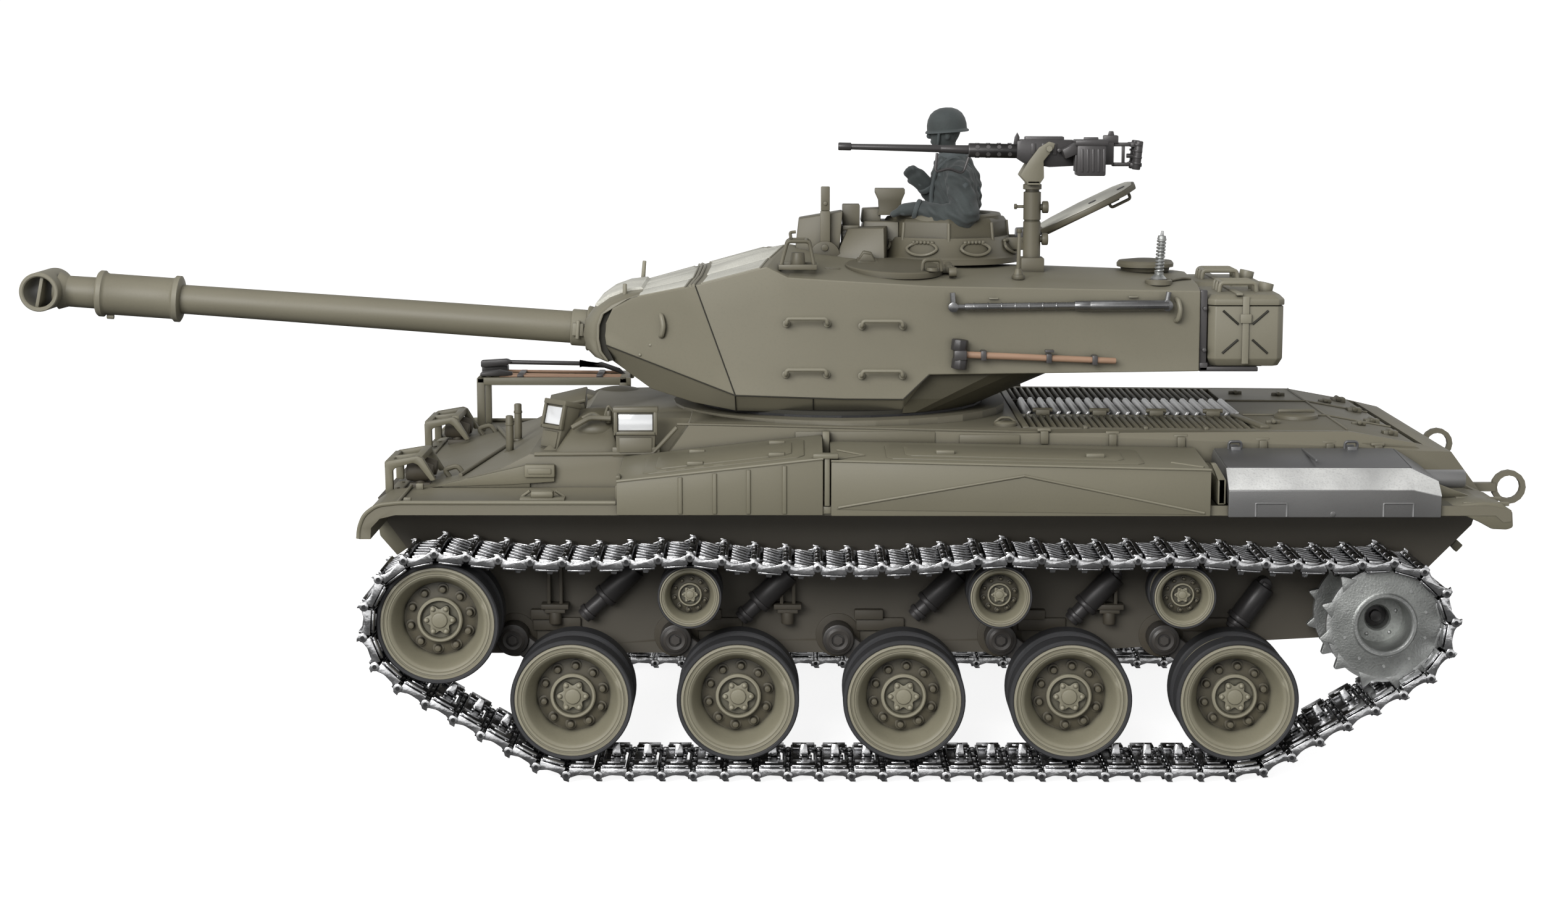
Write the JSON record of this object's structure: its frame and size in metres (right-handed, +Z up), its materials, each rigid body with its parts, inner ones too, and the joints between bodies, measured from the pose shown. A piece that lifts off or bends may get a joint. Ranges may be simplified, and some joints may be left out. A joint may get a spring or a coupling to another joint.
{
  "type": "rc tank",
  "caption": "Radio controlled scale tank with a turning turret, elevating gun, sprung road wheels in metal tracks and a crew figure.",
  "frame": {"origin": "on the ground under the middle of the model's length and width", "axes": "-X is the front that the gun points to, +Y the right side, +Z up"},
  "size_m": [0.5154, 0.2, 0.2142],
  "materials": {
    "olive_paint": "satin olive drab paint on moulded plastic",
    "hull_dark": "matte dark olive-brown paint",
    "wheel_khaki": "satin khaki",
    "tyre_rubber": "matte black rubber",
    "cast_metal": "dull cast zinc-grey metal",
    "track_metal": "bright cast metal",
    "muffler_silver": "metallic grey paint",
    "gunmetal": "dark gunmetal",
    "tool_wood": "pale wood colour",
    "figure_green": "matte dark slate green",
    "black_plastic": "matte black",
    "board_green": "green solder mask",
    "lens_clear": "clear lens",
    "mirror_face": "mirror face of a periscope",
    "anti_slip": "pale gritty panel"
  },
  "bodies": {
    "hull": {"upper_hull": "olive_paint", "engine_deck": "olive_paint", "stowage_box_left": "olive_paint", "stowage_box_right": "olive_paint", "headlight_guard_left": "olive_paint", "headlight_guard_right": "olive_paint", "tool_rack": "olive_paint", "lower_hull": "hull_dark", "track_left": "track_metal", "exhaust_muffler_left": "muffler_silver", "gearbox_left": "black_plastic", "track_right": "track_metal", "exhaust_muffler_right": "muffler_silver", "gearbox_right": "black_plastic", "battery_pack": "black_plastic", "control_board": "board_green"},
    "turret": {"turret_shell": "olive_paint", "turret_ring": "black_plastic", "turret_motor": "black_plastic", "commander_cupola": "olive_paint", "mg_post": "olive_paint", "commander_figure": "figure_green", "antenna_spring": "cast_metal", "bustle_rack": "olive_paint"},
    "gun": {"gun_mantlet": "olive_paint", "gun_barrel": "olive_paint"},
    "loader_lid": {"loader_hatch": "olive_paint"},
    "cupola_lid": {"cupola_hatch": "olive_paint"},
    "mg_yoke": {"mg_cradle": "gunmetal"},
    "mg": {"machine_gun": "gunmetal"},
    "sprocket_left": {"drive_sprocket_left": "cast_metal"},
    "idler_left": {"idler_wheel_left": "wheel_khaki"},
    "arm_left_1": {"swing_arm_left_1": "hull_dark"},
    "wheel_left_1": {"road_wheel_left_1": "wheel_khaki"},
    "arm_left_2": {"swing_arm_left_2": "hull_dark"},
    "wheel_left_2": {"road_wheel_left_2": "wheel_khaki"},
    "arm_left_3": {"swing_arm_left_3": "hull_dark"},
    "wheel_left_3": {"road_wheel_left_3": "wheel_khaki"},
    "arm_left_4": {"swing_arm_left_4": "hull_dark"},
    "wheel_left_4": {"road_wheel_left_4": "wheel_khaki"},
    "arm_left_5": {"swing_arm_left_5": "hull_dark"},
    "wheel_left_5": {"road_wheel_left_5": "wheel_khaki"},
    "roller_left_1": {"return_roller_left_1": "wheel_khaki"},
    "roller_left_2": {"return_roller_left_2": "wheel_khaki"},
    "roller_left_3": {"return_roller_left_3": "wheel_khaki"},
    "sprocket_right": {"drive_sprocket_right": "cast_metal"},
    "idler_right": {"idler_wheel_right": "wheel_khaki"},
    "arm_right_1": {"swing_arm_right_1": "hull_dark"},
    "wheel_right_1": {"road_wheel_right_1": "wheel_khaki"},
    "arm_right_2": {"swing_arm_right_2": "hull_dark"},
    "wheel_right_2": {"road_wheel_right_2": "wheel_khaki"},
    "arm_right_3": {"swing_arm_right_3": "hull_dark"},
    "wheel_right_3": {"road_wheel_right_3": "wheel_khaki"},
    "arm_right_4": {"swing_arm_right_4": "hull_dark"},
    "wheel_right_4": {"road_wheel_right_4": "wheel_khaki"},
    "arm_right_5": {"swing_arm_right_5": "hull_dark"},
    "wheel_right_5": {"road_wheel_right_5": "wheel_khaki"},
    "roller_right_1": {"return_roller_right_1": "wheel_khaki"},
    "roller_right_2": {"return_roller_right_2": "wheel_khaki"},
    "roller_right_3": {"return_roller_right_3": "wheel_khaki"}
  },
  "joints": [
    {"name": "turret_turn", "type": "hinge", "parent": "hull", "child": "turret", "pos_m": [0.0294, 0, 0.1136], "axis": [0, 0, 1], "range_deg": [-160, 160]},
    {"name": "gun_elevation", "type": "hinge", "parent": "turret", "child": "gun", "pos_m": [-0.0433, 0, 0.1364], "axis": [0, 1, 0], "range_deg": [-8, 12]},
    {"name": "loader_lid_hinge", "type": "hinge", "parent": "turret", "child": "loader_lid", "pos_m": [0.067, -0.026, 0.1628], "axis": [0, 1, 0], "range_deg": [0, 95]},
    {"name": "cupola_lid_hinge", "type": "hinge", "parent": "turret", "child": "cupola_lid", "pos_m": [0.0945, 0.014, 0.168], "axis": [0, 1, 0], "range_deg": [-60, 0]},
    {"name": "mg_turn", "type": "hinge", "parent": "turret", "child": "mg_yoke", "pos_m": [0.0955, -0.01, 0.1864], "axis": [0, 0, 1], "range_deg": [-15, 75]},
    {"name": "mg_elevation", "type": "hinge", "parent": "mg_yoke", "child": "mg", "pos_m": [0.0955, -0.01, 0.194], "axis": [0, 1, 0], "range_deg": [-5, 25]},
    {"name": "sprocket_spin_left", "type": "hinge", "parent": "hull", "child": "sprocket_left", "pos_m": [0.2036, -0.0815, 0.051], "axis": [0, 1, 0], "continuous": true},
    {"name": "idler_spin_left", "type": "hinge", "parent": "hull", "child": "idler_left", "pos_m": [-0.101, -0.0815, 0.0514], "axis": [0, 1, 0], "continuous": true},
    {"name": "arm_swing_left_1", "type": "hinge", "parent": "hull", "child": "arm_left_1", "pos_m": [-0.0792, -0.066, 0.0413], "axis": [0, -1, 0], "range_deg": [0, 9], "stiffness_Nm_per_rad": 0.05, "springref_deg": -17.19},
    {"name": "wheel_spin_left_1", "type": "hinge", "parent": "arm_left_1", "child": "wheel_left_1", "pos_m": [-0.0582, -0.0815, 0.0262], "axis": [0, 1, 0], "continuous": true},
    {"name": "arm_swing_left_2", "type": "hinge", "parent": "hull", "child": "arm_left_2", "pos_m": [-0.0255, -0.066, 0.0413], "axis": [0, -1, 0], "range_deg": [0, 9], "stiffness_Nm_per_rad": 0.05, "springref_deg": -17.19},
    {"name": "wheel_spin_left_2", "type": "hinge", "parent": "arm_left_2", "child": "wheel_left_2", "pos_m": [-0.0045, -0.0815, 0.0262], "axis": [0, 1, 0], "continuous": true},
    {"name": "arm_swing_left_3", "type": "hinge", "parent": "hull", "child": "arm_left_3", "pos_m": [0.0282, -0.066, 0.0413], "axis": [0, -1, 0], "range_deg": [0, 9], "stiffness_Nm_per_rad": 0.05, "springref_deg": -17.19},
    {"name": "wheel_spin_left_3", "type": "hinge", "parent": "arm_left_3", "child": "wheel_left_3", "pos_m": [0.0492, -0.0815, 0.0262], "axis": [0, 1, 0], "continuous": true},
    {"name": "arm_swing_left_4", "type": "hinge", "parent": "hull", "child": "arm_left_4", "pos_m": [0.0819, -0.066, 0.0413], "axis": [0, -1, 0], "range_deg": [0, 9], "stiffness_Nm_per_rad": 0.05, "springref_deg": -17.19},
    {"name": "wheel_spin_left_4", "type": "hinge", "parent": "arm_left_4", "child": "wheel_left_4", "pos_m": [0.1029, -0.0815, 0.0262], "axis": [0, 1, 0], "continuous": true},
    {"name": "arm_swing_left_5", "type": "hinge", "parent": "hull", "child": "arm_left_5", "pos_m": [0.1356, -0.066, 0.0413], "axis": [0, -1, 0], "range_deg": [0, 9], "stiffness_Nm_per_rad": 0.05, "springref_deg": -17.19},
    {"name": "wheel_spin_left_5", "type": "hinge", "parent": "arm_left_5", "child": "wheel_left_5", "pos_m": [0.1566, -0.0815, 0.0262], "axis": [0, 1, 0], "continuous": true},
    {"name": "roller_spin_left_1", "type": "hinge", "parent": "hull", "child": "roller_left_1", "pos_m": [-0.02, -0.0815, 0.0598], "axis": [0, 1, 0], "continuous": true},
    {"name": "roller_spin_left_2", "type": "hinge", "parent": "hull", "child": "roller_left_2", "pos_m": [0.0799, -0.0815, 0.0598], "axis": [0, 1, 0], "continuous": true},
    {"name": "roller_spin_left_3", "type": "hinge", "parent": "hull", "child": "roller_left_3", "pos_m": [0.139, -0.0815, 0.0598], "axis": [0, 1, 0], "continuous": true},
    {"name": "sprocket_spin_right", "type": "hinge", "parent": "hull", "child": "sprocket_right", "pos_m": [0.2036, 0.0815, 0.051], "axis": [0, 1, 0], "continuous": true},
    {"name": "idler_spin_right", "type": "hinge", "parent": "hull", "child": "idler_right", "pos_m": [-0.101, 0.0815, 0.0514], "axis": [0, 1, 0], "continuous": true},
    {"name": "arm_swing_right_1", "type": "hinge", "parent": "hull", "child": "arm_right_1", "pos_m": [-0.0792, 0.066, 0.0413], "axis": [0, -1, 0], "range_deg": [0, 9], "stiffness_Nm_per_rad": 0.05, "springref_deg": -17.19},
    {"name": "wheel_spin_right_1", "type": "hinge", "parent": "arm_right_1", "child": "wheel_right_1", "pos_m": [-0.0582, 0.0815, 0.0262], "axis": [0, 1, 0], "continuous": true},
    {"name": "arm_swing_right_2", "type": "hinge", "parent": "hull", "child": "arm_right_2", "pos_m": [-0.0255, 0.066, 0.0413], "axis": [0, -1, 0], "range_deg": [0, 9], "stiffness_Nm_per_rad": 0.05, "springref_deg": -17.19},
    {"name": "wheel_spin_right_2", "type": "hinge", "parent": "arm_right_2", "child": "wheel_right_2", "pos_m": [-0.0045, 0.0815, 0.0262], "axis": [0, 1, 0], "continuous": true},
    {"name": "arm_swing_right_3", "type": "hinge", "parent": "hull", "child": "arm_right_3", "pos_m": [0.0282, 0.066, 0.0413], "axis": [0, -1, 0], "range_deg": [0, 9], "stiffness_Nm_per_rad": 0.05, "springref_deg": -17.19},
    {"name": "wheel_spin_right_3", "type": "hinge", "parent": "arm_right_3", "child": "wheel_right_3", "pos_m": [0.0492, 0.0815, 0.0262], "axis": [0, 1, 0], "continuous": true},
    {"name": "arm_swing_right_4", "type": "hinge", "parent": "hull", "child": "arm_right_4", "pos_m": [0.0819, 0.066, 0.0413], "axis": [0, -1, 0], "range_deg": [0, 9], "stiffness_Nm_per_rad": 0.05, "springref_deg": -17.19},
    {"name": "wheel_spin_right_4", "type": "hinge", "parent": "arm_right_4", "child": "wheel_right_4", "pos_m": [0.1029, 0.0815, 0.0262], "axis": [0, 1, 0], "continuous": true},
    {"name": "arm_swing_right_5", "type": "hinge", "parent": "hull", "child": "arm_right_5", "pos_m": [0.1356, 0.066, 0.0413], "axis": [0, -1, 0], "range_deg": [0, 9], "stiffness_Nm_per_rad": 0.05, "springref_deg": -17.19},
    {"name": "wheel_spin_right_5", "type": "hinge", "parent": "arm_right_5", "child": "wheel_right_5", "pos_m": [0.1566, 0.0815, 0.0262], "axis": [0, 1, 0], "continuous": true},
    {"name": "roller_spin_right_1", "type": "hinge", "parent": "hull", "child": "roller_right_1", "pos_m": [-0.02, 0.0815, 0.0598], "axis": [0, 1, 0], "continuous": true},
    {"name": "roller_spin_right_2", "type": "hinge", "parent": "hull", "child": "roller_right_2", "pos_m": [0.0799, 0.0815, 0.0598], "axis": [0, 1, 0], "continuous": true},
    {"name": "roller_spin_right_3", "type": "hinge", "parent": "hull", "child": "roller_right_3", "pos_m": [0.139, 0.0815, 0.0598], "axis": [0, 1, 0], "continuous": true}
  ],
  "couplings": [
    {"joint": "idler_spin_left", "follows": "sprocket_spin_left", "ratio": 0.96},
    {"joint": "wheel_spin_left_1", "follows": "sprocket_spin_left", "ratio": 0.96},
    {"joint": "wheel_spin_left_2", "follows": "sprocket_spin_left", "ratio": 0.96},
    {"joint": "wheel_spin_left_3", "follows": "sprocket_spin_left", "ratio": 0.96},
    {"joint": "wheel_spin_left_4", "follows": "sprocket_spin_left", "ratio": 0.96},
    {"joint": "wheel_spin_left_5", "follows": "sprocket_spin_left", "ratio": 0.96},
    {"joint": "roller_spin_left_1", "follows": "sprocket_spin_left", "ratio": 1.79},
    {"joint": "roller_spin_left_2", "follows": "sprocket_spin_left", "ratio": 1.79},
    {"joint": "roller_spin_left_3", "follows": "sprocket_spin_left", "ratio": 1.79},
    {"joint": "idler_spin_right", "follows": "sprocket_spin_right", "ratio": 0.96},
    {"joint": "wheel_spin_right_1", "follows": "sprocket_spin_right", "ratio": 0.96},
    {"joint": "wheel_spin_right_2", "follows": "sprocket_spin_right", "ratio": 0.96},
    {"joint": "wheel_spin_right_3", "follows": "sprocket_spin_right", "ratio": 0.96},
    {"joint": "wheel_spin_right_4", "follows": "sprocket_spin_right", "ratio": 0.96},
    {"joint": "wheel_spin_right_5", "follows": "sprocket_spin_right", "ratio": 0.96},
    {"joint": "roller_spin_right_1", "follows": "sprocket_spin_right", "ratio": 1.79},
    {"joint": "roller_spin_right_2", "follows": "sprocket_spin_right", "ratio": 1.79},
    {"joint": "roller_spin_right_3", "follows": "sprocket_spin_right", "ratio": 1.79}
  ]
}
